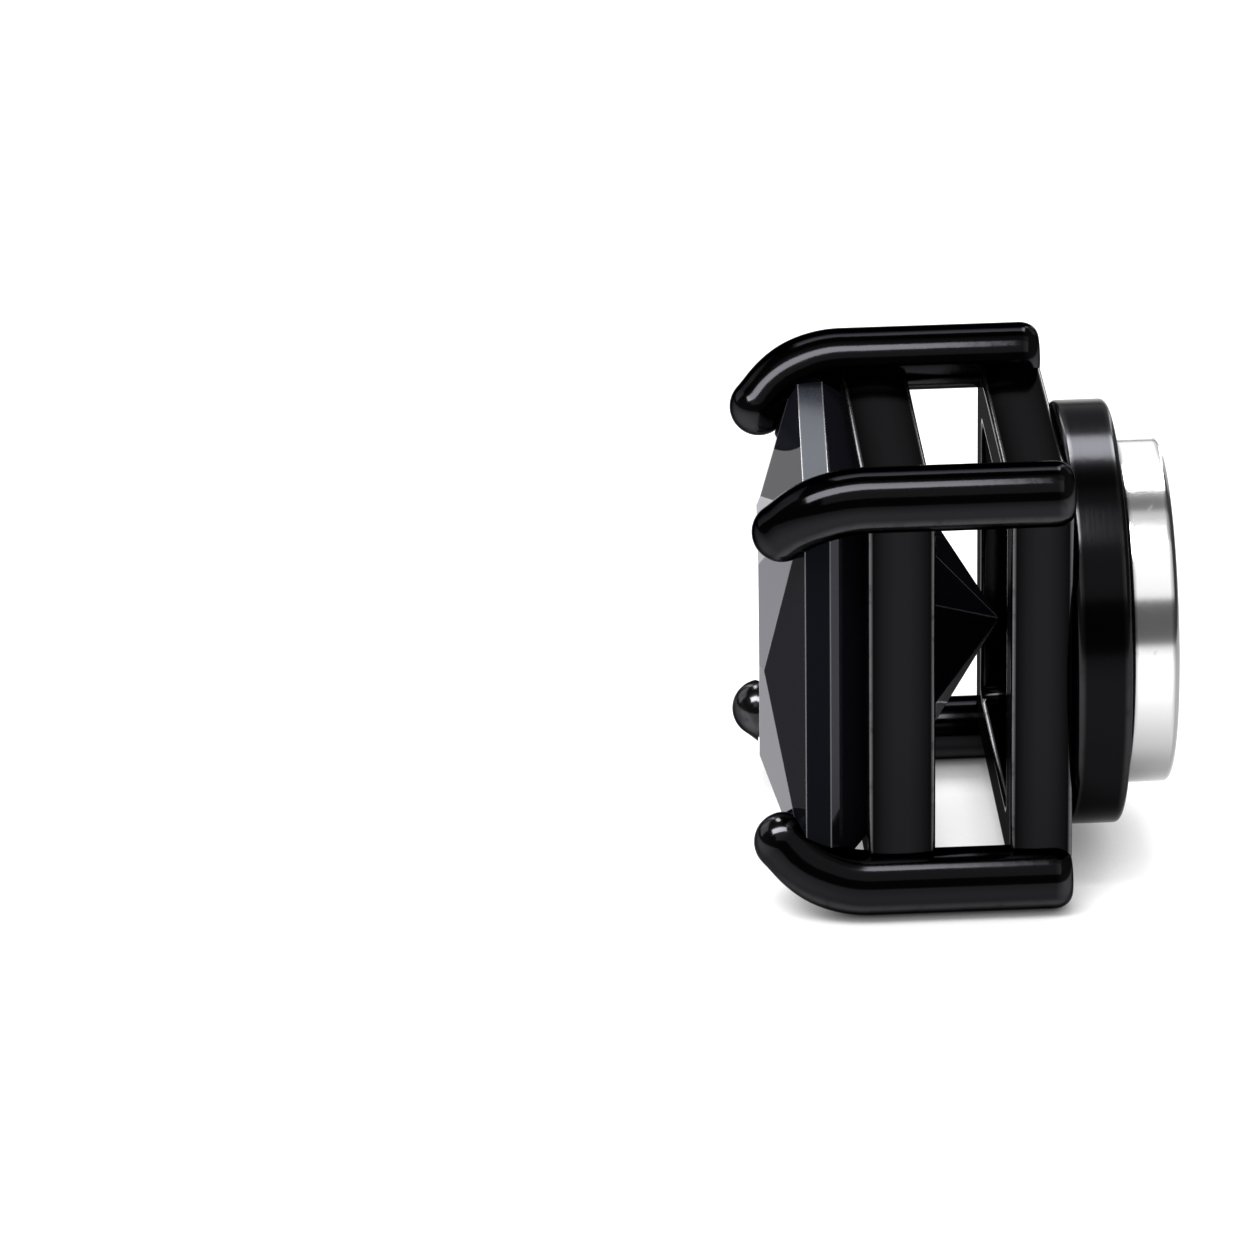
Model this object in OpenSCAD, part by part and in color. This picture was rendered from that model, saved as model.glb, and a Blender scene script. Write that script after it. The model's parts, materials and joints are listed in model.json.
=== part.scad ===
// Magnetic earring: a rectangular cut stone in an open four-prong basket,
// with a magnet cup behind it and a loose magnet disc that clamps the ear lobe.
// Millimetres. +Z is up, the stone faces -Y, the magnets are at the +Y end.
// The earring stands on its two lower prongs, whose undersides are at z = 0.

/* [Stone] */
// Width of the stone across its girdle
stone_w = 7.3; // [6.6:0.1:7.6]
// Height of the stone across its girdle
stone_h = 8.0; // [7.4:0.1:8.4]
// Height of the crown, from the girdle to the table
crown_h = 0.9; // [0.6:0.05:1.1]
// Thickness of the girdle
girdle_t = 0.5; // [0.3:0.05:0.7]
// Depth of the pavilion, from the girdle to the culet
pavilion_h = 3.5; // [3.0:0.1:3.8]
// Angle that the stone is turned in its setting, right side forward
stone_turn = 3; // [0:0.5:4]

/* [Table of the stone] */
// Half width of the table at its corners
table_corner_x = 1.9; // [1.7:0.05:2.1]
// Half height of the table at its corners
table_corner_z = 2.1; // [1.9:0.05:2.3]
// Half width of the table at mid height
table_mid_x = 2.2; // [2.15:0.05:2.4]
// Half height of the table at mid width
table_mid_z = 2.55; // [2.45:0.05:2.7]
// Length of the edge between two corner facets at the middle of a side
neck = 0.2; // [0.1:0.02:0.4]

/* [Basket] */
// Outer width of both rails
rail_w = 7.4; // [7.0:0.1:7.6]
// Outer height of both rails
rail_h = 8.15; // [7.8:0.05:8.4]
// Width of the bar that a rail is bent from
rail_bar = 1.0; // [0.8:0.05:1.2]
// Front to back depth of the gallery rail under the stone
gallery_d = 1.35; // [1.1:0.05:1.5]
// Open space between the two rails
rail_gap = 1.5; // [1.2:0.05:1.7]
// Front to back depth of the base rail
base_d = 1.25; // [1.0:0.05:1.4]
// Space between the girdle and the gallery rail
seat_gap = 0.55; // [0.4:0.05:0.7]

/* [Prongs] */
// Diameter of the prong wire
prong_d = 1.32; // [1.2:0.02:1.5]
// Diameter of the rounded prong tip
tip_d = 1.2; // [1.0:0.05:1.25]
// Distance of a prong's axis from the middle, across
prong_x = 3.62; // [3.5:0.02:3.8]
// Distance of a prong's axis from the middle, up
prong_z = 4.18; // [4.0:0.02:4.3]
// Radius of the bend over the stone's corner, at the wire's axis
bend_r = 2.05; // [1.9:0.05:2.4]
// Angle of that bend
bend_angle = 47; // [42:1:50]
// Length of the straight taper between the bend and the tip
taper_l = 0.32; // [0.2:0.02:0.5]
// Angle from upright in which a prong leans over its corner
lean_angle = 27; // [22:1:40]
// Depth of the rounding at a prong's rear end
prong_end_r = 0.2; // [0.1:0.05:0.3]

/* [Magnets] */
// Diameter of the loose magnet disc
magnet_d = 7.0; // [6.0:0.1:7.2]
// Thickness of the loose magnet disc
magnet_t = 1.0; // [0.8:0.1:1.5]
// Diameter of the magnet cup
cup_d = 8.6; // [8.2:0.1:8.8]
// Thickness of the magnet cup
cup_t = 1.1; // [1.0:0.05:1.5]
// Diameter of the magnet inside the cup
inner_magnet_d = 6.5; // [5.5:0.1:7.0]
// Thickness of the magnet inside the cup
inner_magnet_t = 0.8; // [0.6:0.05:0.8]
// Radius of the rounded rim of the cup
cup_edge = 0.12; // [0.06:0.02:0.3]
// Radius of the rounded rim of the loose magnet disc
magnet_edge = 0.12; // [0.06:0.02:0.3]

/* [Hidden] */
// Clearance between neighbouring pieces
gap = 0.03;
// The seat for the stone is the stone itself, larger by this factor
seat_scale = 1.012;
// Sides of a true circle; round walls are exact at any such number
$fn = 96;

// Stations from the rear, as distances in front of the loose magnet's outer face
cup_back_s = magnet_t + gap;
base_back_s = cup_back_s + cup_t + gap;
base_front_s = base_back_s + base_d;
gallery_back_s = base_front_s + rail_gap;
gallery_front_s = gallery_back_s + gallery_d;
girdle_back_s = gallery_front_s + seat_gap;
girdle_front_s = girdle_back_s + girdle_t;
table_s = girdle_front_s + crown_h;

// The bend starts this far behind the gallery rail's front face
bend_lead = 0.05;
bend_start_s = gallery_front_s - bend_lead;
tip_s = bend_start_s + bend_r * sin(bend_angle) + taper_l * cos(bend_angle);

// The whole depth runs from the prong tips to the loose magnet's outer face,
// and y = 0 is half way between them
whole_depth = tip_s + tip_d / 2;
function y_of(s) = whole_depth / 2 - s;

// Height of the stone's centre, which stands the lower prongs on z = 0
centre_z = prong_z + prong_d / 2;

// Crown of the stone. A corner facet holds one half of a table side and the
// girdle corner. Its fall per millimetre away from that table side, carried
// on along the middle of the side, gives the place of the neck's outer end.
function fall(mid, corner_along, corner_out, girdle_along, girdle_out) =
    let (
        side = norm([corner_along, mid - corner_out]),
        away = (corner_along * (girdle_out - mid) + (mid - corner_out) * girdle_along) / side
    ) crown_h / away * corner_along / side;
neck_fall_z = neck * fall(table_mid_z, table_corner_x, table_corner_z, stone_w / 2, stone_h / 2);
neck_fall_x = neck * fall(table_mid_x, table_corner_z, table_corner_x, stone_h / 2, stone_w / 2);

// Pavilion of the stone, as [depth below the girdle, part of the girdle's size]
shoulder = [0.9, 0.8];
chevron_depth = 1.9;
chevron_part = shoulder[1] * (pavilion_h - chevron_depth) / (pavilion_h - shoulder[0]);
chevron_push = 0.25;
chevron_spread = 0.65;

// Both signs of x and z
SIGNS = [[-1, -1], [1, -1], [1, 1], [-1, 1]];

// Four corners of a rectangle at one depth
function ring(half_x, half_z, y) = [for (s = SIGNS) [s[0] * half_x, y, s[1] * half_z]];

// Points on the two middle lines of a rectangle at one depth
function mids(half_x, half_z, y_x, y_z) =
    [[-half_x, y_x, 0], [half_x, y_x, 0], [0, y_z, -half_z], [0, y_z, half_z]];

// Every corner of the cut stone, around the middle of its girdle's front
function stone_points() =
    let (
        y_table = -crown_h,
        y_back = girdle_t,
        half_x = stone_w / 2,
        half_z = stone_h / 2,
        chev_x = half_x * chevron_part,
        chev_z = half_z * chevron_part,
        y_chev = y_back + chevron_depth
    ) concat(
        ring(table_corner_x, table_corner_z, y_table),
        mids(table_mid_x, table_mid_z, y_table, y_table),
        mids(table_mid_x + neck, table_mid_z + neck, y_table + neck_fall_x, y_table + neck_fall_z),
        ring(half_x, half_z, 0),
        ring(half_x, half_z, y_back),
        ring(half_x * shoulder[1], half_z * shoulder[1], y_back + shoulder[0]),
        ring(chev_x + chevron_push, chev_z * chevron_spread, y_chev),
        ring(chev_x * chevron_spread, chev_z + chevron_push, y_chev),
        [[0, y_back + pavilion_h, 0]]
    );

// The cut stone in its place, larger by a factor where it is used as a cutter
module stone_solid(factor) {
    corners = stone_points();
    translate([0, y_of(girdle_front_s), centre_z])
    rotate([0, 0, -stone_turn])
    scale(factor)
    hull()
    polyhedron(
        points = corners,
        faces = [for (i = [0 : len(corners) - 3]) [i, i + 1, i + 2]]
    );
}

// Rectangular rail from one station to another, counted from the rear
module rail(back_s, front_s) {
    translate([0, y_of(back_s), centre_z])
    rotate([90, 0, 0])
    linear_extrude(front_s - back_s)
    difference() {
        square([rail_w, rail_h], center = true);
        square([rail_w - 2 * rail_bar, rail_h - 2 * rail_bar], center = true);
    }
}

// Disc with rounded rims, from y = 0 back to y = t
module rounded_disc(d, t, edge) {
    rotate([-90, 0, 0])
    rotate_extrude()
    union() {
        square([d / 2 - edge, t]);
        translate([0, edge])
        square([d / 2, t - 2 * edge]);
        for (z = [edge, t - edge])
            translate([d / 2 - edge, z])
            circle(edge);
    }
}

// One prong: a round wire that runs forward past both rails and bends over the
// stone's corner. It is drawn along -Y from its rear end and bends to -Z.
module prong() {
    straight = bend_start_s - base_back_s;
    // Rear end, with its rim turned down
    rotate([90, 0, 0])
    cylinder(h = prong_end_r, r1 = prong_d / 2 - prong_end_r / 2, r2 = prong_d / 2);
    // Straight run past the rails
    translate([0, -prong_end_r, 0])
    rotate([90, 0, 0])
    cylinder(h = straight - prong_end_r, d = prong_d);
    // Bend towards the stone
    translate([0, -straight, -bend_r])
    rotate([180, -90, 0])
    rotate_extrude(angle = bend_angle)
    translate([bend_r, 0])
    circle(d = prong_d);
    // Taper and rounded tip, carried on from the end of the bend
    translate([0, -straight - bend_r * sin(bend_angle), -bend_r * (1 - cos(bend_angle))])
    rotate([90 + bend_angle, 0, 0]) {
        cylinder(h = taper_l, d1 = prong_d, d2 = tip_d);
        translate([0, 0, taper_l])
        sphere(d = tip_d);
    }
}

module stone() {
    color("#2b2b30")
    stone_solid(1);
}

module basket() {
    color("#141414")
    difference() {
        union() {
            rail(base_back_s, base_front_s);
            rail(gallery_back_s, gallery_front_s);
            for (s = SIGNS)
                translate([s[0] * prong_x, y_of(base_back_s), centre_z + s[1] * prong_z])
                mirror([0, 0, s[1] < 0 ? 1 : 0])
                mirror([s[0] < 0 ? 1 : 0, 0, 0])
                rotate([0, lean_angle, 0])
                prong();
        }
        stone_solid(seat_scale);
    }
}

module magnet_cup() {
    color("#1d1d1d")
    translate([0, y_of(cup_back_s + cup_t), centre_z])
    difference() {
        rounded_disc(cup_d, cup_t, cup_edge);
        // Recess for the magnet, open to the rear
        translate([0, cup_t - inner_magnet_t - gap, 0])
        rotate([-90, 0, 0])
        cylinder(h = inner_magnet_t + 1, d = inner_magnet_d + 2 * gap);
    }
}

module front_magnet() {
    color("#b9bcc0")
    translate([0, y_of(cup_back_s + inner_magnet_t), centre_z])
    rotate([-90, 0, 0])
    cylinder(h = inner_magnet_t, d = inner_magnet_d);
}

module back_magnet() {
    color("#d4d6da")
    translate([0, y_of(magnet_t), centre_z])
    rounded_disc(magnet_d, magnet_t, magnet_edge);
}

stone();
basket();
magnet_cup();
front_magnet();
back_magnet();
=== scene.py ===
"""Magnetic earring: a black cut stone in an open basket of two rails and four prongs,
with a magnet cup behind it and a bright loose magnet disc.

The file is laid out as an add-on and is run as a script. Lengths are in metres, in the
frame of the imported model: +Z is up, the stone faces -Y, the magnets are at the +Y end.
Every piece is a surface of two parameters, worked out as whole arrays. What a finish has to
know about a place on a piece is written into its mesh as marks, which are named numbers.
"""
import json
import math

import bmesh
import bpy
import numpy as np
from mathutils import Matrix, Vector


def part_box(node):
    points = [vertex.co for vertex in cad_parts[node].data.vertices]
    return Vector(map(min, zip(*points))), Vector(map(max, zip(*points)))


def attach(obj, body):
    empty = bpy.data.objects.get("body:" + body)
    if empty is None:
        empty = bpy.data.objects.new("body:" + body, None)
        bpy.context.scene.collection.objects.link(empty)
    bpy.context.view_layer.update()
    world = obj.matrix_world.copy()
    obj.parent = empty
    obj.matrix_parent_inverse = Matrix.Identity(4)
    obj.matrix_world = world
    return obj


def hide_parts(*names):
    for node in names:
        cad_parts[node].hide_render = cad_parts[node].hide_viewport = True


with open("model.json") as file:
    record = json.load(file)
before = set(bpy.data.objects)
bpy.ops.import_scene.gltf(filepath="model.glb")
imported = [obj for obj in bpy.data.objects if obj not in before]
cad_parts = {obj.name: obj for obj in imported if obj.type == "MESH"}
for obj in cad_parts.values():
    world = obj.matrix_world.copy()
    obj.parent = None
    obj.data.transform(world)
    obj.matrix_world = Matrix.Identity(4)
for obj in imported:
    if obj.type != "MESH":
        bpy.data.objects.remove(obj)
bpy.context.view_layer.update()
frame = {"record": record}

bl_info = {
    "name": "Magnetic earring",
    "version": (1, 0, 0),
    "blender": (4, 5, 0),
    "location": "3D View > Sidebar > Earring",
    "description": "A black cut stone in a four prong basket, with a magnet cup and a magnet disc",
    "category": "Add Mesh",
}

MM = 0.001

# Points closer together than this are one point
SAME_PLACE = 1e-8

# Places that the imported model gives
STONE_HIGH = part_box("stone")[1]
BASKET_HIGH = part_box("basket")[1]
CUP_LOW, CUP_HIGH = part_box("magnet_cup")
INNER_LOW, INNER_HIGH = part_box("front_magnet")
DISC_LOW, DISC_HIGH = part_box("back_magnet")


def mount_place(name):
    """Place of one of the record's mounts."""
    for mount in frame["record"]["mounts"]:
        if mount["name"] == name:
            return Vector(mount["pos_m"])
    raise RuntimeError(f"the packed record has no mount named {name}")


# The axis of the round parts and the middle of the setting are at this height
CENTRE_Z = mount_place("magnet_back").z


def length(name, description, millimetres):
    """A length whose default is given in millimetres."""
    return bpy.props.FloatProperty(
        name=name, description=description, default=millimetres * MM, min=0.0, precision=5, unit="LENGTH"
    )


def angle(name, description, degrees):
    """An angle whose default is given in degrees."""
    return bpy.props.FloatProperty(
        name=name, description=description, default=math.radians(degrees), subtype="ANGLE"
    )


def colour(name, description, red, green, blue):
    """A colour, as linear red, green and blue."""
    return bpy.props.FloatVectorProperty(
        name=name, description=description, default=(red, green, blue), min=0.0, max=1.0, subtype="COLOR"
    )


def amount(name, description, value):
    """A plain number."""
    return bpy.props.FloatProperty(name=name, description=description, default=value, min=0.0)


class EarringStoneSizes(bpy.types.PropertyGroup):
    """Sizes of the cut stone"""

    width: length("Width", "Width of the stone across its girdle", 7.3)
    height: length("Height", "Height of the stone across its girdle", 8.0)
    crown: length("Crown", "Depth of the crown, from the girdle to the table", 0.9)
    girdle: length("Girdle", "Thickness of the girdle", 0.5)
    pavilion: length("Pavilion", "Depth of the pavilion, from the girdle to the culet", 3.5)
    turn: angle("Turn", "Angle that the stone is turned in its prongs, right side forward", 3.0)
    table_corner_x: length("Table corner across", "Half width of the table at its corners", 1.9)
    table_corner_z: length("Table corner up", "Half height of the table at its corners", 2.1)
    table_mid_x: length("Table middle across", "Half width of the table at mid height", 2.2)
    table_mid_z: length("Table middle up", "Half height of the table at mid width", 2.55)
    neck: length("Neck", "Edge between two corner facets at the middle of a side", 0.2)
    facet_edge: length("Facet edge", "Width of the soft edge between two facets", 0.016)


class EarringBasketSizes(bpy.types.PropertyGroup):
    """Sizes of the two rails"""

    width: length("Width", "Outer width of both rails", 7.4)
    height: length("Height", "Outer height of both rails", 8.15)
    bar: length("Bar", "Width of the bar that a rail is bent from", 1.0)
    gallery_depth: length("Gallery depth", "Depth of the gallery rail under the stone", 1.35)
    rail_gap: length("Rail gap", "Open space between the two rails", 1.5)
    base_depth: length("Base depth", "Depth of the base rail", 1.25)
    edge: length("Edge", "Radius of the rounded edges of the rails", 0.1)
    corner: length("Corner", "Radius of the rails' inner corners", 0.25)
    dome: length("Dome", "How far the rails' sides bulge", 0.03)


class EarringProngSizes(bpy.types.PropertyGroup):
    """Sizes of the four prongs"""

    wire: length("Wire", "Diameter of the prong wire", 1.32)
    tip: length("Tip", "Diameter of the rounded tip", 1.2)
    spread_x: length("Spread across", "Distance of a prong's axis from the middle, across", 3.62)
    spread_z: length("Spread up", "Distance of a prong's axis from the middle, up", 4.18)
    bend_radius: length("Bend radius", "Radius of the bend over the stone's corner", 2.05)
    bend: angle("Bend", "Angle of that bend", 47.0)
    lead: length("Lead", "How far behind the gallery rail's front face the bend starts", 0.05)
    taper: length("Taper", "Length of the straight taper between the bend and the tip", 0.32)
    lean: angle("Lean", "Angle from upright in which a prong leans over its corner", 27.0)
    rear_edge: length("Rear edge", "Depth of the rounding at a prong's rear end", 0.38)


class EarringMagnetSizes(bpy.types.PropertyGroup):
    """Sizes of the magnet cup and its two magnets"""

    cup_edge: length("Cup edge", "Radius of the cup's rounded rims", 0.12)
    recess_gap: length("Recess gap", "Clearance round the magnet in the cup", 0.03)
    inner_edge: length("Inner magnet edge", "Radius of the rim of the magnet in the cup", 0.06)
    disc_edge: length("Disc edge", "Radius of the loose disc's rounded rims", 0.12)


class EarringFinish(bpy.types.PropertyGroup):
    """Colours and wear of the finishes"""

    # Black plating
    plating: colour("Plating", "Reflection of the black plating", 0.010, 0.010, 0.011)
    # Worn plating; also painted highlight lines on rail edges and a painted reflection under prongs
    bare_and_painted_highlight: colour("Worn plating", "Reflection of the plating where it is worn thin", 0.150, 0.150, 0.156)
    plating_edge: colour("Plating at flat angles", "Tint of its reflection at flat angles", 0.5, 0.5, 0.5)
    wire_edge: colour("Prongs at flat angles", "Tint of their reflection there", 0.36, 0.36, 0.36)
    # Stone
    stone: colour("Stone", "Body colour of the stone under its polish", 0.004, 0.004, 0.006)
    # Painted light: the two facets under the culet get a pale body colour, as if lit from below
    painted_lit_stone: colour("Lit stone", "Body colour of the two facets lit from below", 0.34, 0.34, 0.35)
    stone_sheen: colour("Stone sheen", "Tint of the polished facets' reflection", 0.90, 0.88, 1.0)
    stone_ior: amount("Stone index", "Refractive index of the stone", 2.15)
    # Painted highlight: the bevels between the facets are paler, which draws light lines on them
    facet_edge: colour("Facet edges", "Body colour of the bevels between the facets", 0.06, 0.06, 0.066)
    girdle_sheen: colour("Girdle sheen", "Tint of the ground girdle's reflection", 0.72, 0.84, 1.0)
    # Magnets
    nickel: colour("Nickel", "Colour of the nickel plated magnets", 0.78, 0.78, 0.78)
    # The flat faces are darker than the wall, a painted shade
    nickel_face_painted_shade: colour("Magnet faces", "Colour of the magnets' flat faces", 0.47, 0.47, 0.475)
    # Rims darker for worn plating and painted shade, the wall's underside for painted shade
    rim: colour("Worn rim", "Colour of the magnets' rims, where the plating is dull", 0.30, 0.30, 0.30)
    # Floor
    floor: colour("Floor", "Colour of the pale floor", 0.24, 0.24, 0.24)
    floor_light: amount("Floor light", "Light that shines through the floor", 0.84)


class EarringStudio(bpy.types.PropertyGroup):
    """Camera and lights of the studio"""

    azimuth: angle("Azimuth", "Camera's angle round the earring, 90 looks along -X", 84.792)
    elevation: angle("Elevation", "Camera's angle above the horizon", 24.126)
    roll: angle("Roll", "Camera's turn about its own axis", 0.111)
    distance: length("Distance", "From the setting's middle to the camera", 181.08)
    focal_px: amount("Focal length", "Focal length in pixels of the picture", 8932.85)
    picture_px: amount("Picture", "Width and height of the picture in pixels", 1250.0)
    target_px_x: amount("Target across", "Pixel across where the setting's middle shows", 951.527)
    target_px_y: amount("Target down", "Pixel down where the setting's middle shows", 615.622)
    sky: amount("Sky", "Brightness of the even light all round", 0.16)
    gamma: amount("Gamma", "Gamma of the picture, under 1 is darker in the middle tones", 0.87)


class EarringSettings(bpy.types.PropertyGroup):
    """Everything that can be changed on the earring"""

    stone: bpy.props.PointerProperty(type=EarringStoneSizes)
    basket: bpy.props.PointerProperty(type=EarringBasketSizes)
    prongs: bpy.props.PointerProperty(type=EarringProngSizes)
    magnets: bpy.props.PointerProperty(type=EarringMagnetSizes)
    finish: bpy.props.PointerProperty(type=EarringFinish)
    studio: bpy.props.PointerProperty(type=EarringStudio)


def skin(name, points, marks=None, wrap_rows=False, sharp=None):
    """Mesh of a grid of points, rows by columns, that always closes round its columns.

    Four neighbours in the grid make one face. Rows that lie in a single point close to a
    pole, because points in one place are merged. Marks are named numbers for each point,
    which the finishes read. Edges sharper than the angle sharp stay crisp.
    """
    rows, columns = points.shape[:2]
    index = np.arange(rows * columns).reshape(rows, columns)
    if wrap_rows:
        index = np.vstack([index, index[:1]])
    beside = np.roll(index, -1, axis=1)
    quads = np.stack([index[:-1], beside[:-1], beside[1:], index[1:]], axis=-1).reshape(-1, 4)
    mesh = bpy.data.meshes.new(name)
    mesh.from_pydata(points.reshape(-1, 3), [], quads)
    for mark, values in (marks or {}).items():
        layer = mesh.attributes.new(mark, "FLOAT", "POINT")
        layer.data.foreach_set("value", np.ascontiguousarray(values, np.float32).reshape(-1))
    work = bmesh.new()
    work.from_mesh(mesh)
    bmesh.ops.remove_doubles(work, verts=work.verts, dist=SAME_PLACE)
    bmesh.ops.recalc_face_normals(work, faces=work.faces)
    work.to_mesh(mesh)
    work.free()
    mesh.shade_smooth()
    if sharp is not None:
        mesh.set_sharp_from_angle(angle=sharp)
    return mesh


def piece(name, mesh, node, body, slot, *materials):
    """Object of a finished mesh, which rides on a body and stands for a node of the model."""
    made = bpy.data.objects.new(name, mesh)
    bpy.context.scene.collection.objects.link(made)
    for material in materials:
        made.data.materials.append(material)
    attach(made, body)
    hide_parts(node)
    return made


# Shape of the stone. A ring has twelve places: each corner of the rectangle holds two, one
# towards its upright side and one towards its level side, and each side's middle holds one.
UPRIGHT, LEVEL, MID_UPRIGHT, MID_LEVEL = range(4)
RING_KIND = np.array([0, 1, 3, 1, 0, 2, 0, 1, 3, 1, 0, 2])
RING_X = np.array([-1, -1, 0, 1, 1, 1, 1, 1, 0, -1, -1, -1])
RING_Z = np.array([-1, -1, -1, -1, -1, 0, 1, 1, 1, 1, 1, 0])


def stone_ring(upright, level, mid_x, mid_z, y, y_mid_x=None, y_mid_z=None):
    """One ring of the cut: the corner points (x, z) beside the upright and the level sides,
    the middles of the sides, and their depths."""
    table = np.zeros((4, 3))
    table[UPRIGHT] = upright[0], y, upright[1]
    table[LEVEL] = level[0], y, level[1]
    table[MID_UPRIGHT] = mid_x, y if y_mid_x is None else y_mid_x, 0.0
    table[MID_LEVEL] = 0.0, y if y_mid_z is None else y_mid_z, mid_z
    ring = table[RING_KIND]
    ring[:, 0] *= RING_X
    ring[:, 2] *= RING_Z
    return ring


def plain_ring(half_x, half_z, y):
    """A ring that is a plain rectangle."""
    return stone_ring((half_x, half_z), (half_x, half_z), half_x, half_z, y)


def facet_fall(crown, mid, corner_along, corner_out, girdle_along, girdle_out):
    """How fast a corner facet falls, per length, away from the middle of a table side.

    The facet's plane holds one half of the table side and the girdle's corner. Its fall
    square to the table side is the crown's depth over the corner's distance from that side.
    """
    side = math.hypot(corner_along, mid - corner_out)
    away = (corner_along * (girdle_out - mid) + (mid - corner_out) * girdle_along) / side
    return crown / away * corner_along / side


def stone_points(stone):
    """Grid of the cut, ring after ring from the table's middle to the culet."""
    half_x = stone.width / 2
    half_z = stone.height / 2
    corner = (stone.table_corner_x, stone.table_corner_z)
    fall_x = facet_fall(stone.crown, stone.table_mid_x, corner[1], corner[0], half_z, half_x)
    fall_z = facet_fall(stone.crown, stone.table_mid_z, corner[0], corner[1], half_x, half_z)
    # Pavilion, as part of the girdle's size and as depth behind the girdle
    shoulder_part = 0.8
    shoulder_depth = 0.9 * MM
    chevron_depth = 1.9 * MM
    chevron_push = 0.25 * MM
    chevron_spread = 0.65
    chevron_part = shoulder_part * (stone.pavilion - chevron_depth) / (stone.pavilion - shoulder_depth)
    chevron_x = half_x * chevron_part
    chevron_z = half_z * chevron_part
    front = -stone.crown
    rings = [
        plain_ring(0.0, 0.0, front),
        stone_ring(corner, corner, stone.table_mid_x, stone.table_mid_z, front),
        stone_ring(
            (half_x, half_z),
            (half_x, half_z),
            stone.table_mid_x + stone.neck,
            stone.table_mid_z + stone.neck,
            0.0,
            front + stone.neck * fall_x,
            front + stone.neck * fall_z,
        ),
        plain_ring(half_x, half_z, 0.0),
        plain_ring(half_x, half_z, stone.girdle),
        plain_ring(half_x * shoulder_part, half_z * shoulder_part, stone.girdle + shoulder_depth),
        stone_ring(
            (chevron_x + chevron_push, chevron_z * chevron_spread),
            (chevron_x * chevron_spread, chevron_z + chevron_push),
            chevron_x + chevron_push,
            chevron_z + chevron_push,
            stone.girdle + chevron_depth,
        ),
        plain_ring(0.0, 0.0, stone.girdle + stone.pavilion),
    ]
    return np.stack(rings)


# Painted light and shade on the stone: how much each facet shines, where the table shines
# fully. A dimmer facet's finish has a lower refractive index, so that it looks darker.
FACET_PAINTED_SHINE = {
    "full": 1.0,
    "pavilion": 0.3,
    "left side": 0.2,
    "other sides": 0.04,
    "right corners": 0.85,
    "lower corners": 0.42,
    "lower left corner": 0.45,
    "upper left corner": 0.15,
    "girdle's upright sides": 0.0,
}
# A facet whose normal has less than this part towards the front belongs to the girdle
GIRDLE_FACING = 0.05


def facet_place(facing, aside, up):
    """Name of a facet's place, from its normal's parts towards the front, the right and up.

    The parts are cosines of the normal's angles to those directions. The normal of a facet
    along one of the four sides leans straight to that side. Those of the corner facets lean
    to two sides, and are sorted by the side that they lean to more.
    """
    if abs(facing) < GIRDLE_FACING:
        return "full" if abs(up) > 0.9 else "girdle's upright sides"
    if facing < 0.0:
        return "full" if up < -0.3 else "pavilion"
    if facing > 0.99:
        return "full"
    if max(abs(aside), abs(up)) / math.hypot(aside, up) > 0.995:
        return "left side" if aside < -0.1 else "other sides"
    if abs(up) > abs(aside):
        return "full" if up > 0.0 else "lower corners"
    if aside > 0.0:
        return "right corners"
    return "upper left corner" if up > 0.0 else "lower left corner"


def gets_painted_light(facing, aside, up):
    """Whether a facet is one of the pavilion's two under the culet, which get painted fill light."""
    return facing < -0.6 and abs(aside) > 0.3 and up < -0.35


def stone_mesh(stone):
    """The cut stone in its place, with each facet one flat face.

    The rings are turned about the upright axis and moved so that the culet is at the back
    of the model's stone. Faces in one plane are then joined, and each face gets two marks:
    its brightness, a painted light and shade, and 1 where it gets painted light from below.
    """
    points = stone_points(stone)
    x, y, z = np.moveaxis(points, -1, 0)
    sine = math.sin(stone.turn)
    cosine = math.cos(stone.turn)
    back = STONE_HIGH.y - (stone.girdle + stone.pavilion) * cosine
    placed = np.stack([x * cosine + y * sine, back - x * sine + y * cosine, CENTRE_Z + z], axis=-1)
    mesh = skin("cut_stone", placed)
    work = bmesh.new()
    work.from_mesh(mesh)
    flat = math.radians(0.6)
    bmesh.ops.dissolve_limit(work, angle_limit=flat, verts=work.verts, edges=work.edges)
    bmesh.ops.recalc_face_normals(work, faces=work.faces)
    out = Vector((-sine, -cosine, 0.0))
    across = Vector((cosine, -sine, 0.0))
    # The mark brightness paints light and shade on each facet, and the mark lit paints light
    painted_shine = work.faces.layers.float.new("brightness")
    lit = work.faces.layers.float.new("lit")
    for facet in work.faces:
        leaning = (facet.normal.dot(out), facet.normal.dot(across), facet.normal.z)
        facet.material_index = 1 if abs(leaning[0]) < GIRDLE_FACING else 0
        facet[painted_shine] = FACET_PAINTED_SHINE[facet_place(*leaning)]
        facet[lit] = float(gets_painted_light(*leaning))
    work.to_mesh(mesh)
    work.free()
    mesh.shade_flat()
    return mesh


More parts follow.
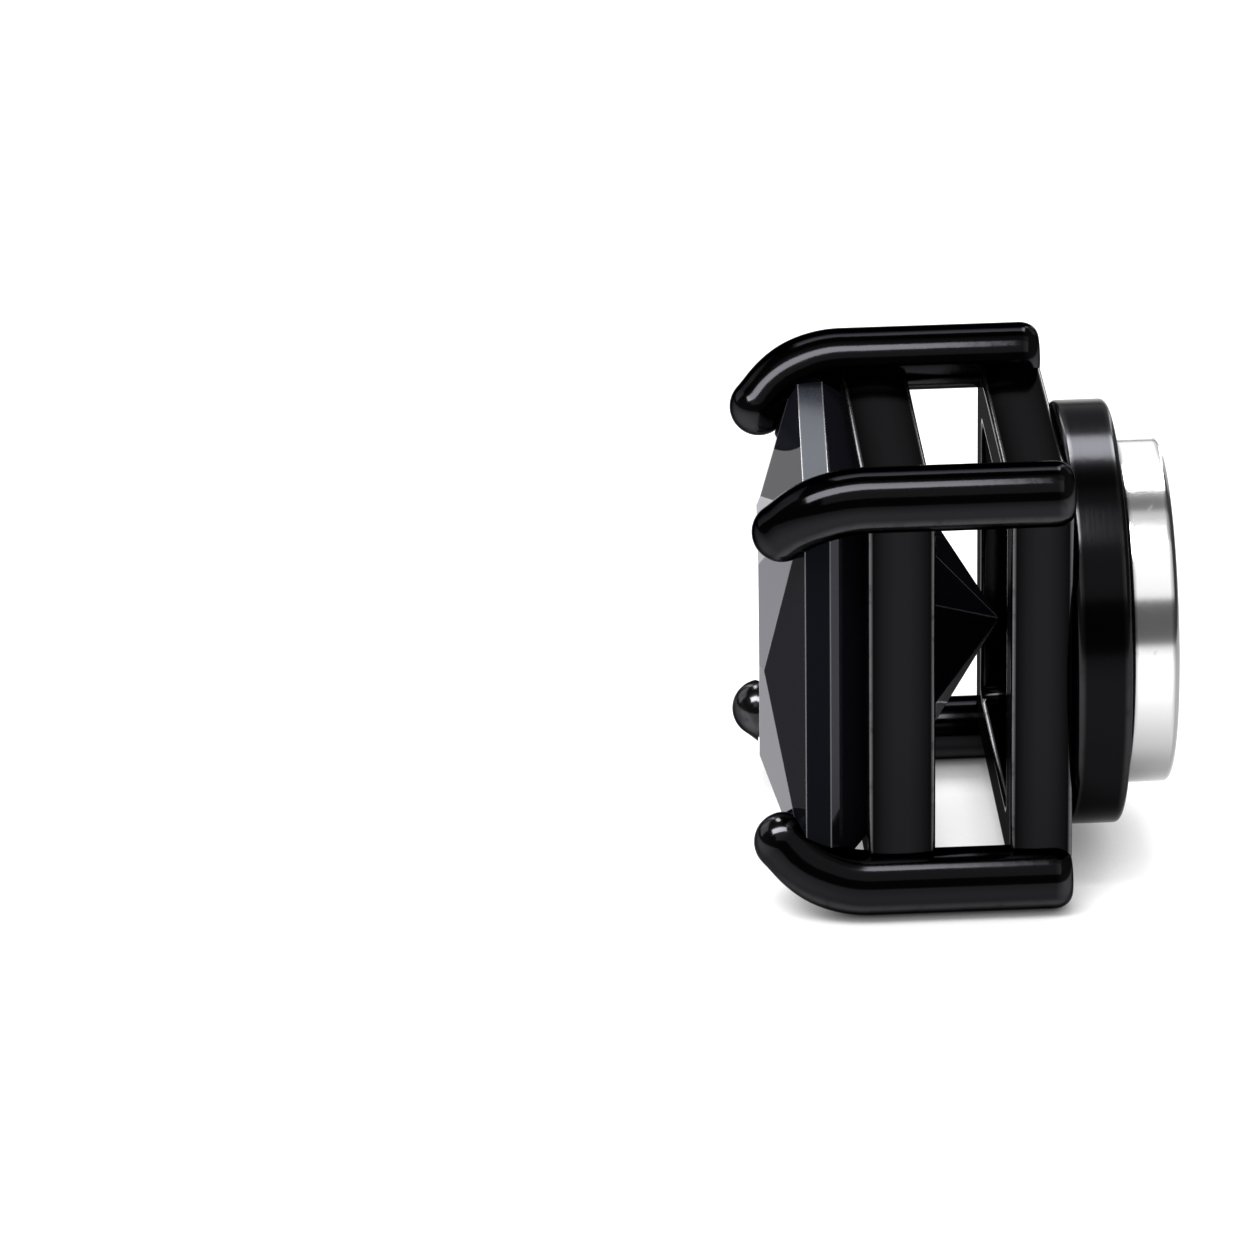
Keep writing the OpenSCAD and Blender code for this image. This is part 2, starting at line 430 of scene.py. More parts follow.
def rounded_rectangle(half_w, half_h, radius, corner_steps=9, side_steps=9):
    """Rectangle with round corners, for arrays of sizes, as steps by sizes by (w, h).

    Each corner is a quarter circle about a point that lies its radius inside both sides.
    Between two corners the points run straight, closer together near the ends.
    """
    half_w, half_h, radius = np.broadcast_arrays(*np.atleast_1d(half_w, half_h, radius))
    turn = np.linspace(0.0, np.pi / 2, corner_steps)[:, None]
    ease = (1.0 - np.cos(np.linspace(0.0, np.pi, side_steps + 2)[1:-1])) / 2
    arcs = []
    for quarter, (sign_w, sign_h) in enumerate(((1, 1), (-1, 1), (-1, -1), (1, -1))):
        at = turn + quarter * np.pi / 2
        w = sign_w * (half_w - radius) + radius * np.cos(at)
        h = sign_h * (half_h - radius) + radius * np.sin(at)
        arcs.append(np.stack([w, h], axis=-1))
    walk = []
    for arc, following in zip(arcs, arcs[1:] + arcs[:1]):
        start = arc[-1]
        end = following[0]
        walk.append(arc)
        walk.append(start + ease[:, None, None] * (end - start))
    return np.concatenate(walk)


def rail_points(basket, front, depth):
    """Rectangular rail whose bar has rounded edges and domed sides, and its marks.

    A rounded outline of the bar gives, for each of its points, how far in from the rail's
    outer side it lies and at what depth. The rail's own outline, drawn that far in, is
    carried through all of them. Its corners are rounder outside than inside. The marks say
    where the bar's edges are, which get worn plating and painted highlight lines, where its
    sides carry a painted sheen that follows their bulge, and where it is dull.
    """
    corner_steps = 7
    side_steps = 6
    outer_corner = 1.4
    dome_painted_sheen = 0.75
    flat_dullness = 0.95
    section = rounded_rectangle(basket.bar / 2, depth / 2, basket.edge, corner_steps, side_steps)[:, 0]
    rise = 1.0 - np.clip(np.abs(section[:, 1]) / (depth / 2 - basket.edge), 0.0, 1.0) ** 2
    section[:, 0] += np.sign(section[:, 0]) * basket.dome * rise
    inset = basket.bar / 2 + section[:, 0]
    inner = inset / basket.bar
    radius = basket.corner * (inner + outer_corner * (1.0 - inner))
    outline = rounded_rectangle(basket.width / 2 - inset, basket.height / 2 - inset, radius)
    y = np.broadcast_to(front + depth / 2 + section[:, 1], outline.shape[:2])
    points = np.stack([outline[..., 0], y, CENTRE_Z + outline[..., 1]], axis=-1)
    # Edge mark: worn plating along the rounded edges, which also paints light lines on them
    arc = np.concatenate([np.sin(np.linspace(0.0, np.pi, corner_steps)), np.zeros(side_steps)])
    edge = np.broadcast_to(np.tile(arc, 4), outline.shape[:2])
    # Painted sheen, brightest in the middle of each bulging side and darker towards its edges
    middle = np.broadcast_to(dome_painted_sheen * rise, outline.shape[:2])
    # The flat faces to the front and the rear are the least polished
    flat = np.concatenate([np.zeros(corner_steps), np.full(side_steps, flat_dullness)])
    flat = np.where(rise > 0.0, 0.0, np.tile(flat, 4))
    dull = np.broadcast_to(flat, outline.shape[:2])
    return points, {"edge": edge, "middle": middle, "dull": dull}


def prong_points(basket, prongs, sign_x, sign_z):
    """One prong as a round skin carried along its wire, and its marks.

    The wire starts in a flat end with a rounded rim, runs forward past both rails, bends
    over the stone's corner on a circle's arc, and ends in a short taper with a ball tip.
    Each circle stands square to the wire: its points are the cosine times the direction
    across the wire plus the sine times the side. The marks say where the wire is worn, and
    paint light and shade by how far each point faces up: a painted reflection underneath,
    brightest in a line along it, and painted shade on top.
    """
    forward = np.array([0.0, -1.0, 0.0])
    inward = np.array([-sign_x * math.sin(prongs.lean), 0.0, -sign_z * math.cos(prongs.lean)])
    side = np.cross(forward, inward)
    start = np.array([sign_x * prongs.spread_x, BASKET_HIGH.y, CENTRE_Z + sign_z * prongs.spread_z])
    wire = prongs.wire / 2
    tip = prongs.tip / 2
    round_off = prongs.rear_edge
    # The rounding at the rear takes this much of its depth off the wire's radius
    round_in = 0.8 * round_off
    worn_ends = 0.3
    painted_line_strength = 0.5
    straight = basket.base_depth + basket.rail_gap + basket.gallery_depth - prongs.lead
    quarter = np.linspace(0.0, np.pi / 2, 9)
    run = np.linspace(round_off, straight, 24)[1:]
    turn = np.linspace(0.0, prongs.bend, 28)[1:]
    slope = np.linspace(0.0, prongs.taper, 5)[1:]
    dome = np.linspace(0.0, np.pi / 2, 15)[1:]
    bend_along = straight + prongs.bend_radius * math.sin(prongs.bend)
    bend_across = prongs.bend_radius * (1.0 - math.cos(prongs.bend))
    past_bend = np.concatenate([slope, prongs.taper + tip * np.sin(dome)])
    end_radius = wire - round_in
    along = np.concatenate([
        [0.0, 0.0],
        round_off * (1.0 - np.cos(quarter)),
        run,
        straight + prongs.bend_radius * np.sin(turn),
        bend_along + past_bend * math.cos(prongs.bend),
    ])
    across = np.concatenate([
        np.zeros(2 + quarter.size + run.size),
        prongs.bend_radius * (1.0 - np.cos(turn)),
        bend_across + past_bend * math.sin(prongs.bend),
    ])
    heading = np.concatenate([
        np.zeros(2 + quarter.size + run.size),
        turn,
        np.full(past_bend.size, prongs.bend),
    ])
    # The wire thins to the tip over the second half of the bend and the taper
    bend_length = prongs.bend_radius * prongs.bend
    walked = np.concatenate([prongs.bend_radius * turn, bend_length + slope])
    share = np.clip((walked - bend_length / 2) / (bend_length / 2 + prongs.taper), 0.0, 1.0)
    thinned = wire + (tip - wire) * share * share * (3.0 - 2.0 * share)
    radius = np.concatenate([
        [0.0, 0.9 * end_radius],
        end_radius + round_in * np.sin(quarter),
        np.full(run.size, wire),
        thinned,
        tip * np.cos(dome),
    ])
    centre = start + along[:, None] * forward + across[:, None] * inward
    normal = np.cos(heading)[:, None] * inward - np.sin(heading)[:, None] * forward
    around = np.linspace(0.0, 2.0 * np.pi, 64, endpoint=False)[:, None]
    circle = np.cos(around) * normal[:, None, :] + np.sin(around) * side
    points = centre[:, None, :] + radius[:, None, None] * circle
    wear = np.concatenate([
        [0.0, 0.0],
        worn_ends * np.sin(2.0 * quarter),
        np.zeros(run.size + turn.size + slope.size),
        worn_ends * np.sin(dome),
    ])
    # Painted reflection under the wire, brightest in a line along it, and painted shade on its top
    up = circle[:, :, 2]
    middle = np.interp(up, [-0.1, 0.25, 0.75, 0.9], [1.0, 0.45, 0.45, 0.05])
    painted_line = np.interp(up, [-0.8, -0.62, -0.5, -0.3], [0.0, 1.0, 1.0, 0.0])
    edge = np.maximum(wear[:, None], painted_line_strength * painted_line)
    return points, {"edge": edge, "middle": middle, "dull": np.zeros(up.shape)}


def straight_run(start, end, steps=5):
    """Points of a straight stretch of a profile, closer together near its ends."""
    ease = (1.0 - np.cos(np.linspace(0.0, np.pi, steps + 2)[1:-1])) / 2
    return np.outer(1.0 - ease, start) + np.outer(ease, end)


def rim(radius, y, edge, first, last, steps=8):
    """Quarter circle of a profile between two angles in degrees, about a point of (radius, y)."""
    at = np.radians(np.linspace(first, last, steps))
    return np.stack([radius + edge * np.cos(at), y + edge * np.sin(at)], axis=-1)


def disc_profile(radius, front, back, edge):
    """Profile of a disc with rounded rims, as (radius, y) from its front middle to its back middle."""
    front_rim = rim(radius - edge, front + edge, edge, -90, 0)
    back_rim = rim(radius - edge, back - edge, edge, 0, 90)
    middle_front = np.array([0.0, front])
    middle_back = np.array([0.0, back])
    return np.concatenate([
        [middle_front],
        straight_run(middle_front, front_rim[0]),
        front_rim,
        straight_run(front_rim[-1], back_rim[0]),
        back_rim,
        straight_run(back_rim[-1], middle_back),
        [middle_back],
    ])


def turned(profile, steps=192):
    """A profile of (radius, y) turned about the axis of the round parts."""
    around = np.linspace(0.0, 2.0 * np.pi, steps, endpoint=False)
    radius = profile[:, :1]
    y = np.broadcast_to(profile[:, 1:], (len(profile), steps))
    return np.stack([radius * np.cos(around), y, CENTRE_Z + radius * np.sin(around)], axis=-1)


def rim_wear(profile, outer, edge):
    """Wear of a turned part: it grows towards the rim's rounding, by the profile's own bend.

    The bend at a point is the angle between the profile's steps before and after it.
    """
    wear_per_bend = 6.0
    step = np.diff(profile, axis=0)
    heading = np.unwrap(np.arctan2(step[:, 1], step[:, 0]))
    bend = np.abs(np.diff(heading, prepend=heading[:1], append=heading[-1:]))
    bend = np.append(bend, 0.0)[: len(profile)]
    return np.where(profile[:, 0] > outer - edge, np.clip(bend * wear_per_bend, 0.0, 1.0), 0.0)


def facing_up(points, radius):
    """How far the points of a turned part face up, from -1 underneath to 1 on top."""
    return (points[:, :, 2] - CENTRE_Z) / np.maximum(radius, SAME_PLACE)


class Value:
    """A shader socket in a sum: each operator adds one Math node to the finish."""

    def __init__(self, finish, socket):
        self.finish = finish
        self.socket = socket

    def math(self, operation, first, second):
        """One Math node on two values or numbers."""
        return self.finish.node("ShaderNodeMath", {"operation": operation}, {0: first, 1: second})

    def __add__(self, other):
        return self.math("ADD", self, other)

    def __radd__(self, other):
        return self.math("ADD", other, self)

    def __sub__(self, other):
        return self.math("SUBTRACT", self, other)

    def __rsub__(self, other):
        return self.math("SUBTRACT", other, self)

    def __mul__(self, other):
        return self.math("MULTIPLY", self, other)

    def __rmul__(self, other):
        return self.math("MULTIPLY", other, self)


class Finish:
    """The node tree of one material."""

    def __init__(self, name):
        self.material = bpy.data.materials.new(name)
        self.material.use_nodes = True
        self.tree = self.material.node_tree
        self.tree.nodes.clear()
        self.place = self.node("ShaderNodeTexCoord", output="Object")

    def node(self, kind, settings=None, inputs=None, output=0):
        """Adds a node: its settings first, then the values or links of its sockets."""
        made = self.tree.nodes.new(kind)
        for name, value in (settings or {}).items():
            setattr(made, name, value)
        for key, value in (inputs or {}).items():
            if isinstance(value, Value):
                self.tree.links.new(value.socket, made.inputs[key])
            else:
                made.inputs[key].default_value = value
        return Value(self, made.outputs[output])

    def noise(self, place, scale, detail=3.0, roughness=0.5):
        """Soft noise from 0 to 1, at so many lumps a metre."""
        inputs = {"Vector": place, "Scale": scale, "Detail": detail, "Roughness": roughness}
        return self.node("ShaderNodeTexNoise", None, inputs, "Fac")

    def stretched(self, scale):
        """Object coordinates drawn out by a scale for each axis."""
        inputs = {"Vector": self.place, "Scale": scale}
        return self.node("ShaderNodeMapping", {"vector_type": "POINT"}, inputs)

    def ramp(self, value, low, high):
        """0 below low, 1 above high, and smooth between them."""
        settings = {"interpolation_type": "SMOOTHSTEP"}
        inputs = {"Value": value, "From Min": low, "From Max": high}
        return self.node("ShaderNodeMapRange", settings, inputs, "Result")

    def attribute(self, name):
        """A number that the mesh carries at its points or faces."""
        return self.node("ShaderNodeAttribute", {"attribute_name": name}, None, "Fac")

    def mix(self, factor, first, second):
        """One colour passing into another."""
        settings = {"data_type": "RGBA", "blend_type": "MIX"}
        ends = {6: first, 7: second}
        inputs = {place: end if isinstance(end, Value) else (*end, 1.0) for place, end in ends.items()}
        return self.node("ShaderNodeMix", settings, {"Factor": factor, **inputs}, 2)

    def bump(self, height, distance, strength):
        """Normal of a small relief, its height given from 0 to 1 and its depth as a length."""
        inputs = {"Height": height, "Distance": distance, "Strength": strength}
        return self.node("ShaderNodeBump", None, inputs, "Normal")

    def principled(self, inputs):
        """A Principled shader."""
        return self.node("ShaderNodeBsdfPrincipled", None, inputs)

    def end(self, shader):
        """Links a shader to the material's output and gives the finished material."""
        made = self.tree.nodes.new("ShaderNodeOutputMaterial")
        self.tree.links.new(shader.socket, made.inputs["Surface"])
        return self.material

    def end_mixed(self, factor, first, second):
        """Ends the tree in two shaders, of which the second shows where the factor is 1."""
        return self.end(self.node("ShaderNodeMixShader", None, {0: factor, 1: first, 2: second}))


def axis_coordinates(finish, scale):
    """Coordinates about the round parts' axis: distance from it and place along it, scaled.

    The distance is the length of the place without its part along the axis. Noise on these
    coordinates draws rings on a flat face and lines round a rim, as a lathe leaves them.
    """
    middle = (0.0, 0.0, CENTRE_Z)
    across = (1.0, 0.0, 1.0)
    centred = finish.node("ShaderNodeVectorMath", {"operation": "SUBTRACT"}, {0: finish.place, 1: middle})
    square = finish.node("ShaderNodeVectorMath", {"operation": "MULTIPLY"}, {0: centred, 1: across})
    radius = finish.node("ShaderNodeVectorMath", {"operation": "LENGTH"}, {0: square}, "Value")
    along = finish.node("ShaderNodeSeparateXYZ", None, {0: centred}, "Y")
    return finish.node("ShaderNodeCombineXYZ", None, {"X": radius * scale, "Y": along * scale})


def plating_finish(name, colours, grazing, turned_part):
    """Glossy black plating: faint orange peel, smudges, hairlines, and edges worn thin.

    Grazing tints its reflection at flat angles. The mesh marks its worn edges, which also
    carry painted highlight lines and a painted reflection, a painted sheen and shade on its
    sides as a brighter or darker plating, and where it stays nearly dull, which is a surface
    of its own.
    """
    finish = Finish(name)
    smudge = finish.noise(finish.place, 420.0, 2.0)
    peel = finish.noise(finish.place, 5200.0, 2.0)
    if turned_part:
        line_place = axis_coordinates(finish, 16000.0)
        wear_strength = 0.2
        roughness = 0.12
    else:
        line_place = finish.stretched((9000.0, 900.0, 9000.0))
        wear_strength = 0.8
        roughness = 0.07
    lines = finish.noise(line_place, 1.0, 3.0, 0.6)
    chips = finish.noise(finish.place, 2600.0, 4.0, 0.6)
    wear = finish.attribute("edge") * finish.ramp(chips, 0.1, 0.5) * wear_strength
    # Painted sheen and shade: the mark middle mixes the darkened deep into the brighter sheen
    deep = tuple(0.35 * part for part in colours.plating)
    sheen = tuple(2.0 * part for part in colours.plating)
    sides = finish.mix(finish.attribute("middle"), deep, sheen)
    polished = finish.principled({
        "Base Color": finish.mix(wear, sides, colours.bare_and_painted_highlight),
        "Metallic": 1.0,
        "Roughness": roughness + smudge * 0.05 + lines * 0.05 + wear * 0.12,
        "Specular Tint": (*grazing, 1.0),
        "Normal": finish.bump(peel * 0.7 + lines * 0.3, 0.004 * MM, 0.35),
    })
    dull = finish.principled({
        "Base Color": (*deep, 1.0),
        "Roughness": 0.5 + smudge * 0.1,
        "Specular IOR Level": 0.0,
    })
    return finish.end_mixed(1 - finish.attribute("dull"), dull, polished)


def end_by_painted_brightness(finish, surface, dark_index, bright_index):
    """Ends a stone finish in two like surfaces, mixed by the painted brightness the mesh gives a facet.

    The dark one has a low refractive index, so that it hardly shines.
    """
    dark = finish.principled({**surface, "IOR": dark_index})
    bright = finish.principled({**surface, "IOR": bright_index})
    return finish.end_mixed(finish.attribute("brightness"), dark, bright)


def stone_finish(colours):
    """Opaque black stone with mirror facets that carry a trace of polishing lines."""
    finish = Finish("cut_stone_black")
    haze = finish.noise(finish.place, 700.0, 3.0)
    lines = finish.noise(finish.stretched((14000.0, 1500.0, 3000.0)), 1.0, 2.0)
    polish = {
        # Painted light: the facets marked lit get a pale body colour
        "Base Color": finish.mix(finish.attribute("lit"), colours.stone, colours.painted_lit_stone),
        "Roughness": 0.012 + haze * 0.03 + lines * 0.015,
        "Specular Tint": (*colours.stone_sheen, 1.0),
        "Normal": finish.bump(lines, 0.0006 * MM, 0.12),
    }
    # Painted light and shade: each facet's index follows the mark brightness
    return end_by_painted_brightness(finish, polish, 1.08, colours.stone_ior)


def facet_highlight_finish(colours):
    """The narrow bevels between the facets, a little paler and duller than the facets, as painted
    highlight lines.
    """
    finish = Finish("stone_facet_edges_painted_highlight")
    patches = finish.noise(finish.place, 1500.0, 2.0)
    return finish.end(finish.principled({
        "Base Color": (*colours.facet_edge, 1.0),
        "Roughness": 0.2 + patches * 0.1,
        "IOR": 1.6,
    }))


def girdle_finish(colours):
    """The girdle is ground and not polished: fine frosting, darker and duller than a facet."""
    finish = Finish("stone_girdle_frosted")
    frost = finish.noise(finish.place, 16000.0, 4.0, 0.7)
    patches = finish.noise(finish.place, 1500.0, 2.0)
    ground = {
        "Base Color": (*colours.stone, 1.0),
        "Roughness": 0.14 + frost * 0.12 + patches * 0.08,
        "Specular Tint": (*colours.girdle_sheen, 1.0),
        "Normal": finish.bump(frost, 0.004 * MM, 0.3),
    }
    # Painted shade: the girdle's upright sides take the low index, by the mark brightness
    return end_by_painted_brightness(finish, ground, 1.12, 1.8)


def nickel_finish(name, colours):
    """Nickel plated magnet with fine turning lines and a few dull spots.

    The mesh marks its flat faces, darker than the wall as painted shade, with darker
    grooves, and the rims and underside of its wall, darker for worn plating and painted
    shade on the rims and for painted shade underneath.
    """
    finish = Finish(name)
    lines = finish.noise(axis_coordinates(finish, 22000.0), 1.0, 4.0, 0.65)
    dull = finish.noise(finish.place, 900.0, 3.0)
    spots = finish.ramp(finish.noise(finish.place, 3800.0, 2.0), 0.62, 0.75)
    shade = tuple(0.86 * part for part in colours.nickel)
    groove = tuple(0.72 * part for part in colours.nickel_face_painted_shade)
    wall = finish.mix(spots * 0.5 + dull * 0.3, colours.nickel, shade)
    face = finish.mix(finish.ramp(lines, 0.35, 0.65) * 0.6 + dull * 0.4, colours.nickel_face_painted_shade, groove)
    plain = finish.mix(finish.attribute("face"), wall, face)
    return finish.end(finish.principled({
        "Base Color": finish.mix(finish.attribute("edge"), plain, colours.rim),
        "Metallic": 1.0,
        "Roughness": 0.11 + lines * 0.06 + dull * 0.04 + spots * 0.05,
        "Normal": finish.bump(lines, 0.004 * MM, 0.12),
    }))


def floor_finish(colours):
    """Plain pale floor, almost even. The light through it fades where something stands close,
    as a painted contact shadow.
    """
    finish = Finish("pale_floor")
    cloud = finish.noise(finish.place, 8.0, 2.0)
    darker = tuple(0.985 * part for part in colours.floor)
    near = {"Distance": 1.3 * MM}
    return finish.end(finish.principled({
        "Base Color": finish.mix(cloud, colours.floor, darker),
        "Roughness": 0.7,
        "Specular IOR Level": 0.2,
        # Painted contact shadow: ambient occlusion darkens the light through the floor
        "Emission Color": finish.node("ShaderNodeAmbientOcclusion", {"samples": 8}, near),
        "Emission Strength": colours.floor_light,
    }))


class EARRING_OT_stone(bpy.types.Operator):
    """Makes the cut stone"""

    bl_idname = "earring.stone"
    bl_label = "Cut Stone"

    def execute(self, context):
        settings = context.scene.earring
        looks = settings.finish
        mesh = stone_mesh(settings.stone)
        finishes = (stone_finish(looks), girdle_finish(looks), facet_highlight_finish(looks))
        made = piece("cut_stone", mesh, "stone", "setting", "black_stone", *finishes)
        # The bevels take the last finish, which paints light lines along the facet edges
        soft = made.modifiers.new("facet_edges", "BEVEL")
        soft.width = settings.stone.facet_edge
        soft.segments = 2
        soft.material = len(finishes) - 1
        soft.limit_method = "ANGLE"
        soft.angle_limit = math.radians(3.0)
        return {"FINISHED"}


class EARRING_OT_rails(bpy.types.Operator):
    """Makes the gallery rail under the stone and the base rail behind it"""

    bl_idname = "earring.rails"
    bl_label = "Rails"

    def execute(self, context):
        settings = context.scene.earring
        basket = settings.basket
        looks = settings.finish
        base_front = BASKET_HIGH.y - basket.base_depth
        gallery_front = base_front - basket.rail_gap - basket.gallery_depth
        finish = plating_finish("black_plating_rails", looks, looks.plating_edge, turned_part=False)
        for name, front, depth in (
            ("base_rail", base_front, basket.base_depth),
            ("gallery_rail", gallery_front, basket.gallery_depth),
        ):
            points, marks = rail_points(basket, front, depth)
            mesh = skin(name, points, marks, wrap_rows=True)
            piece(name, mesh, "basket", "setting", "black_plate", finish)
        return {"FINISHED"}


class EARRING_OT_prongs(bpy.types.Operator):
    """Makes the four prongs, each a bent round wire with a ball tip"""

    bl_idname = "earring.prongs"
    bl_label = "Prongs"

    def execute(self, context):
        settings = context.scene.earring
        looks = settings.finish
        finish = plating_finish("black_plating_prongs", looks, looks.wire_edge, turned_part=False)
        for level, sign_z in (("lower", -1), ("upper", 1)):
            for hand, sign_x in (("left", -1), ("right", 1)):
                name = f"prong_{level}_{hand}"
                points, marks = prong_points(settings.basket, settings.prongs, sign_x, sign_z)
                mesh = skin(name, points, marks)
                piece(name, mesh, "basket", "setting", "black_plate", finish)
        return {"FINISHED"}


class EARRING_OT_cup(bpy.types.Operator):
    """Makes the magnet cup behind the base rail, with its recess open to the rear"""

    bl_idname = "earring.cup"
    bl_label = "Magnet Cup"

    def execute(self, context):
        settings = context.scene.earring
        sizes = settings.magnets
        looks = settings.finish
        recess = INNER_HIGH.x + sizes.recess_gap
        floor = INNER_LOW.y - sizes.recess_gap
        outside = disc_profile(CUP_HIGH.x, CUP_LOW.y, CUP_HIGH.y, sizes.cup_edge)
        rim_end = np.flatnonzero(outside[:, 1] >= CUP_HIGH.y - SAME_PLACE)[0]
        mouth = np.array([recess, CUP_HIGH.y])
        foot = np.array([recess, floor])
        floor_middle = np.array([0.0, floor])
        profile = np.concatenate([
            outside[: rim_end + 1],
            straight_run(outside[rim_end], mouth),
            [mouth],
            straight_run(mouth, foot),
            [foot],
            straight_run(foot, floor_middle),
            [floor_middle],
        ])
        points = turned(profile)
        edge = np.broadcast_to(rim_wear(profile, CUP_HIGH.x, sizes.cup_edge)[:, None], points.shape[:2])
        # Painted highlight: a brighter plating in a band along the cup's top, darker below it
        up = facing_up(points, profile[:, :1])
        middle = np.interp(up, [0.88, 0.94], [0.35, 1.0])
        marks = {"edge": edge, "middle": middle, "dull": np.zeros(up.shape)}
        mesh = skin("cup_shell", points, marks, sharp=math.radians(40.0))
        finish = plating_finish("black_plating_cup", looks, looks.plating_edge, turned_part=True)
        piece("cup_shell", mesh, "magnet_cup", "setting", "black_cup", finish)
        return {"FINISHED"}


class EARRING_OT_magnets(bpy.types.Operator):
    """Makes the magnet inside the cup and the loose disc"""

    bl_idname = "earring.magnets"
    bl_label = "Magnets"

    def execute(self, context):
        settings = context.scene.earring
        sizes = settings.magnets
        inner = ("inner_magnet", "front_magnet", "setting", "nickel_inner")
        loose = ("loose_magnet", "back_magnet", "back", "nickel")
        for (name, node, body, slot), low, high, edge in (
            (inner, INNER_LOW, INNER_HIGH, sizes.inner_edge),
            (loose, DISC_LOW, DISC_HIGH, sizes.disc_edge),
        ):
            profile = disc_profile(high.x, low.y, high.y, edge)
            points = turned(profile)
            on_face = np.broadcast_to(profile[:, :1] < high.x - 0.9 * edge, points.shape[:2])
            # Painted shade: the wall is darker underneath, and along its rims for wear and painted shade
            up = facing_up(points, high.x)
            painted_underside_shade = np.interp(up, [-0.7, -0.4, 0.05], [1.0, 0.7, 0.0]) * ~on_face
            rim_wear_and_painted_shade = np.maximum(rim_wear(profile, high.x, edge)[:, None], painted_underside_shade)
            mesh = skin(name, points, {"edge": rim_wear_and_painted_shade, "face": on_face})
            piece(name, mesh, node, body, slot, nickel_finish(f"nickel_{name}", settings.finish))
        return {"FINISHED"}


def aim(place, target, up):
    """Turn that looks from a place to a target along -Z, with +Y as near to up as it can be."""
    back = (place - target).normalized()
    right = up.cross(back).normalized()
    return Matrix((right, back.cross(right), back)).transposed().to_4x4()


def around_setting(azimuth, elevation, distance):
    """Place round the setting's middle. Azimuth 0 is in front of the stone and 90 at +X."""
    level = math.cos(elevation)
    back = Vector((math.sin(azimuth) * level, -math.cos(azimuth) * level, math.sin(elevation)))
    return Vector((0.0, 0.0, CENTRE_Z)) + back * distance


def soft_light(name, azimuth, elevation, distance, width, height, brightness, up=(0.0, 0.0, 1.0)):
    """Rectangular soft light that faces the setting. Brightness is its radiance.

    Angles are in degrees and lengths in metres. Its height runs as near as it can along the
    direction up.
    """
    data = bpy.data.lights.new(name, "AREA")
    data.shape = "RECTANGLE"
    data.size = width
    data.size_y = height
    data.energy = brightness * math.pi * width * height
    made = bpy.data.objects.new(name, data)
    bpy.context.scene.collection.objects.link(made)
    place = around_setting(math.radians(azimuth), math.radians(elevation), distance)
    made.matrix_world = Matrix.Translation(place) @ aim(place, Vector((0.0, 0.0, CENTRE_Z)), Vector(up))
    made.visible_camera = False


def studio_camera(studio):
    """Camera that sees the setting's middle at its target pixel, without shift.

    It is aimed at the middle, and then swung from the target pixel's sight line to its own.
    """
    data = bpy.data.cameras.new("studio_camera")
    data.sensor_width = 36.0
    data.lens = studio.focal_px * data.sensor_width / studio.picture_px
    data.clip_start = 0.01
    data.clip_end = 10.0
    made = bpy.data.objects.new("studio_camera", data)
    bpy.context.scene.collection.objects.link(made)
    middle = Vector((0.0, 0.0, CENTRE_Z))
    place = around_setting(studio.azimuth, studio.elevation, studio.distance)
    half = studio.picture_px / 2
    sight = Vector((
        (studio.target_px_x - half) / studio.focal_px,
        (half - studio.target_px_y) / studio.focal_px,
        -1.0,
    ))
    swing = sight.rotation_difference(Vector((0.0, 0.0, -1.0))).to_matrix().to_4x4()
    roll = Matrix.Rotation(studio.roll, 4, "Z")
    level = aim(place, middle, Vector((0.0, 0.0, 1.0)))
    made.matrix_world = Matrix.Translation(place) @ level @ roll @ swing
    bpy.context.scene.camera = made


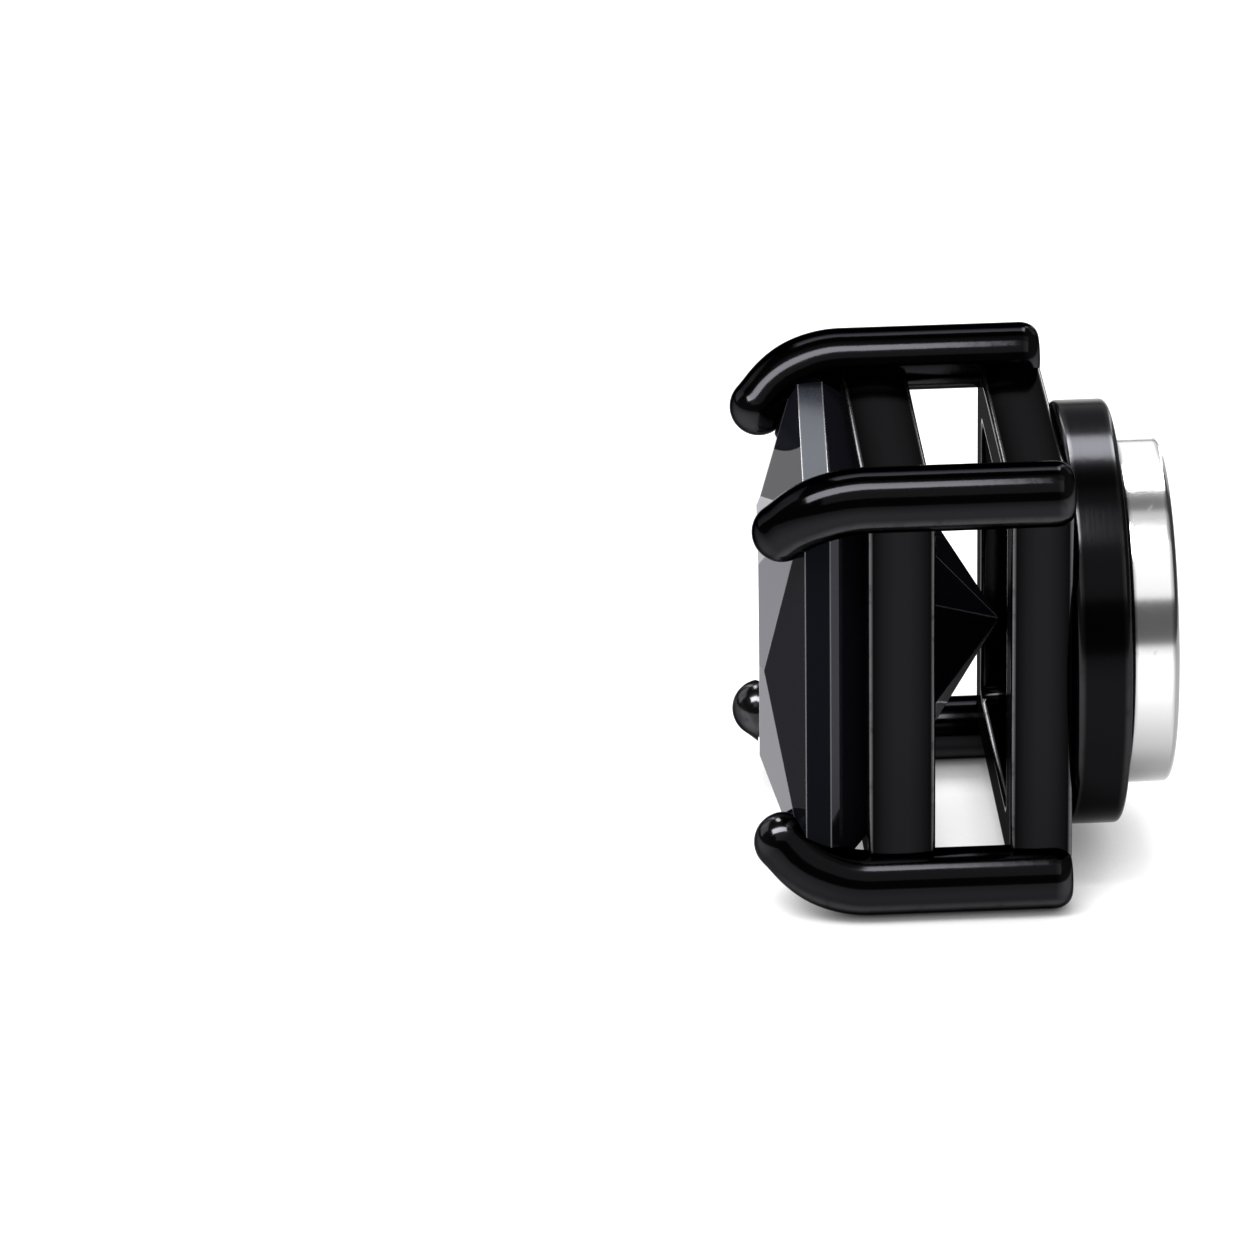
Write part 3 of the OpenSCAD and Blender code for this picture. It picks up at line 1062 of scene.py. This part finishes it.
class EARRING_OT_stage(bpy.types.Operator):
    """Makes the pale floor, the soft lights and the camera"""

    bl_idname = "earring.stage"
    bl_label = "Stage"

    def execute(self, context):
        settings = context.scene.earring
        studio_camera(settings.studio)
        reach = 1.5
        corners = reach * np.array([[-1, -1, 0], [1, -1, 0], [1, 1, 0], [-1, 1, 0]])
        mesh = bpy.data.meshes.new("floor")
        mesh.from_pydata(corners, [], np.array([[0, 1, 2, 3]]))
        floor = bpy.data.objects.new("floor", mesh)
        context.scene.collection.objects.link(floor)
        mesh.materials.append(floor_finish(settings.finish))
        # Azimuth, elevation, distance, width, height and radiance. The strips draw the narrow
        # bright lines, and the cards and the box fill larger reflections.
        soft_light("near_strip", 43.8, 60.9, 0.0428, 0.015, 0.0425, 24.0, up=(0.0, -1.0, 0.0))
        soft_light("far_strip", 270.0, 56.0, 0.5, 0.3, 0.17, 20.0)
        soft_light("front_edge_strip", 292.0, 20.0, 0.5, 0.06, 0.34, 9.0)
        soft_light("rear_edge_strip", 246.0, 20.0, 0.5, 0.06, 0.34, 9.0)
        soft_light("far_card", 270.0, 24.0, 0.5, 1.1, 0.34, 1.1)
        soft_light("near_box", 90.0, 51.0, 0.6, 0.8, 0.46, 1.1)
        soft_light("near_top_card", 90.0, 83.0, 0.6, 0.8, 0.20, 0.5)
        soft_light("front_card", 325.0, 24.0, 0.55, 0.4, 0.3, 2.0)
        world = bpy.data.worlds.new("studio_world")
        world.use_nodes = True
        sky = world.node_tree.nodes["Background"]
        sky.inputs["Color"].default_value = (1.0, 1.0, 1.0, 1.0)
        sky.inputs["Strength"].default_value = settings.studio.sky
        context.scene.world = world
        context.scene.view_settings.view_transform = "Standard"
        context.scene.view_settings.gamma = settings.studio.gamma
        return {"FINISHED"}


class EARRING_PT_panel(bpy.types.Panel):
    """Lists the pieces of the earring"""

    bl_idname = "EARRING_PT_panel"
    bl_label = "Magnetic Earring"
    bl_space_type = "VIEW_3D"
    bl_region_type = "UI"
    bl_category = "Earring"

    def draw(self, context):
        column = self.layout.column()
        for operator in OPERATORS:
            column.operator(operator.bl_idname)


GROUPS = (
    EarringStoneSizes,
    EarringBasketSizes,
    EarringProngSizes,
    EarringMagnetSizes,
    EarringFinish,
    EarringStudio,
    EarringSettings,
)
OPERATORS = (
    EARRING_OT_stage,
    EARRING_OT_stone,
    EARRING_OT_rails,
    EARRING_OT_prongs,
    EARRING_OT_cup,
    EARRING_OT_magnets,
)


def register():
    """Registers the settings, the operators and the panel."""
    for kind in (*GROUPS, *OPERATORS, EARRING_PT_panel):
        bpy.utils.register_class(kind)
    bpy.types.Scene.earring = bpy.props.PointerProperty(type=EarringSettings)


def unregister():
    """Removes what register added."""
    del bpy.types.Scene.earring
    for kind in (EARRING_PT_panel, *reversed(OPERATORS), *reversed(GROUPS)):
        bpy.utils.unregister_class(kind)


def main():
    """Makes the stage and every piece."""
    register()
    bpy.ops.earring.stage()
    bpy.ops.earring.stone()
    bpy.ops.earring.rails()
    bpy.ops.earring.prongs()
    bpy.ops.earring.cup()
    bpy.ops.earring.magnets()


if __name__ == "__main__":
    main()
